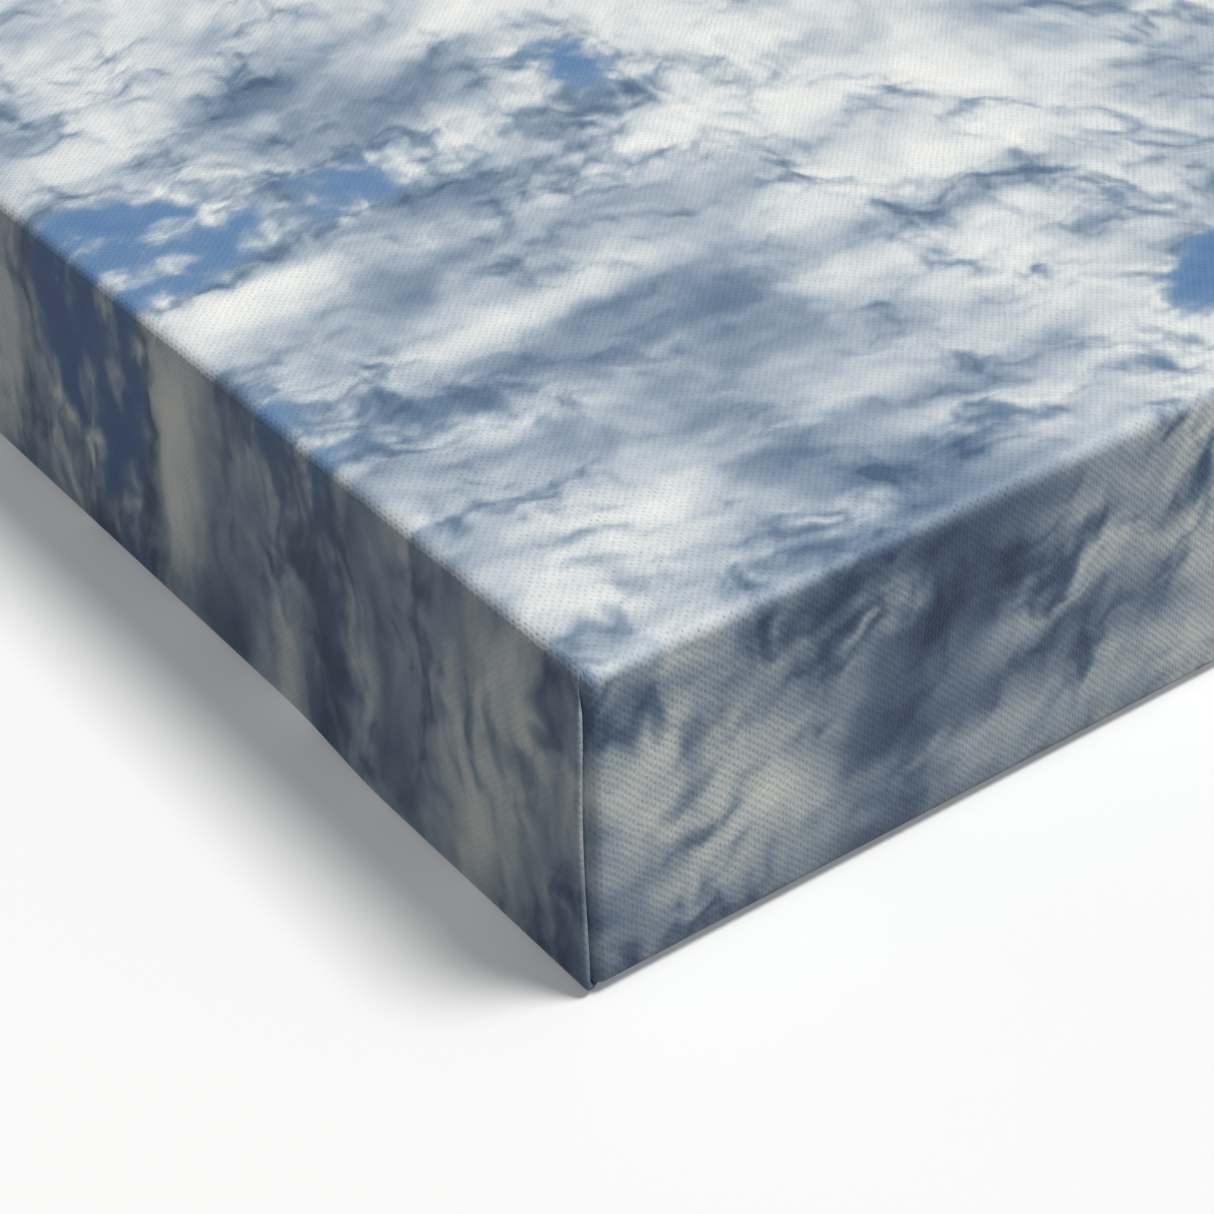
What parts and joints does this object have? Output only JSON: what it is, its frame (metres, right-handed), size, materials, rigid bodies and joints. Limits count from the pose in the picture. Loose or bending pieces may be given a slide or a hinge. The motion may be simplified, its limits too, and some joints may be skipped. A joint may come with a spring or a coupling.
{
  "type": "stretched canvas",
  "caption": "Deep-edge stretched canvas print: cloth wrapped over four mitred wooden stretcher bars, stapled on the back, with corner keys and swinging D-ring hangers.",
  "frame": {"origin": "under the middle of the picture, on the surface that it lies on, back down", "axes": "+X along the picture's width (its longest side), +Y up the picture, +Z out of the picture's face"},
  "size_m": [0.61, 0.406, 0.038],
  "materials": {
    "printed_canvas": "matte inkjet print on primed cotton-blend canvas, unprinted white on the turned-over margin",
    "bar_pine": "planed, unfinished pine",
    "key_pine": "sawn, unfinished pine",
    "staple_steel": "galvanised wire",
    "hanger_steel": "nickel plated",
    "screw_steel": "zinc plated"
  },
  "bodies": {
    "frame": {"canvas": "printed_canvas", "bar_top": "bar_pine", "bar_bottom": "bar_pine", "bar_left": "bar_pine", "bar_right": "bar_pine", "staples_top": "staple_steel", "staples_bottom": "staple_steel", "staples_left": "staple_steel", "staples_right": "staple_steel", "strap_left": "hanger_steel", "strap_right": "hanger_steel", "hanger_screws": "screw_steel"},
    "key_top_left_long": {"key_top_left_long": "key_pine"},
    "key_top_left_short": {"key_top_left_short": "key_pine"},
    "key_top_right_long": {"key_top_right_long": "key_pine"},
    "key_top_right_short": {"key_top_right_short": "key_pine"},
    "key_bottom_left_long": {"key_bottom_left_long": "key_pine"},
    "key_bottom_left_short": {"key_bottom_left_short": "key_pine"},
    "key_bottom_right_long": {"key_bottom_right_long": "key_pine"},
    "key_bottom_right_short": {"key_bottom_right_short": "key_pine"},
    "ring_left": {"ring_left": "hanger_steel"},
    "ring_right": {"ring_right": "hanger_steel"}
  },
  "joints": [
    {"name": "key_top_left_long_draw", "type": "slide", "parent": "frame", "child": "key_top_left_long", "axis": [1, 0, 0], "range_m": [0, 0.022]},
    {"name": "key_top_left_short_draw", "type": "slide", "parent": "frame", "child": "key_top_left_short", "axis": [0, -1, 0], "range_m": [0, 0.022]},
    {"name": "key_top_right_long_draw", "type": "slide", "parent": "frame", "child": "key_top_right_long", "axis": [-1, 0, 0], "range_m": [0, 0.022]},
    {"name": "key_top_right_short_draw", "type": "slide", "parent": "frame", "child": "key_top_right_short", "axis": [0, -1, 0], "range_m": [0, 0.022]},
    {"name": "key_bottom_left_long_draw", "type": "slide", "parent": "frame", "child": "key_bottom_left_long", "axis": [1, 0, 0], "range_m": [0, 0.022]},
    {"name": "key_bottom_left_short_draw", "type": "slide", "parent": "frame", "child": "key_bottom_left_short", "axis": [0, 1, 0], "range_m": [0, 0.022]},
    {"name": "key_bottom_right_long_draw", "type": "slide", "parent": "frame", "child": "key_bottom_right_long", "axis": [-1, 0, 0], "range_m": [0, 0.022]},
    {"name": "key_bottom_right_short_draw", "type": "slide", "parent": "frame", "child": "key_bottom_right_short", "axis": [0, 1, 0], "range_m": [0, 0.022]},
    {"name": "ring_left_swing", "type": "hinge", "parent": "frame", "child": "ring_left", "pos_m": [-0.2627, 0.093, 0.0171], "axis": [0, 0, -1], "range_deg": [0, 160]},
    {"name": "ring_right_swing", "type": "hinge", "parent": "frame", "child": "ring_right", "pos_m": [0.2627, 0.093, 0.0171], "axis": [0, 0, 1], "range_deg": [0, 160]}
  ]
}
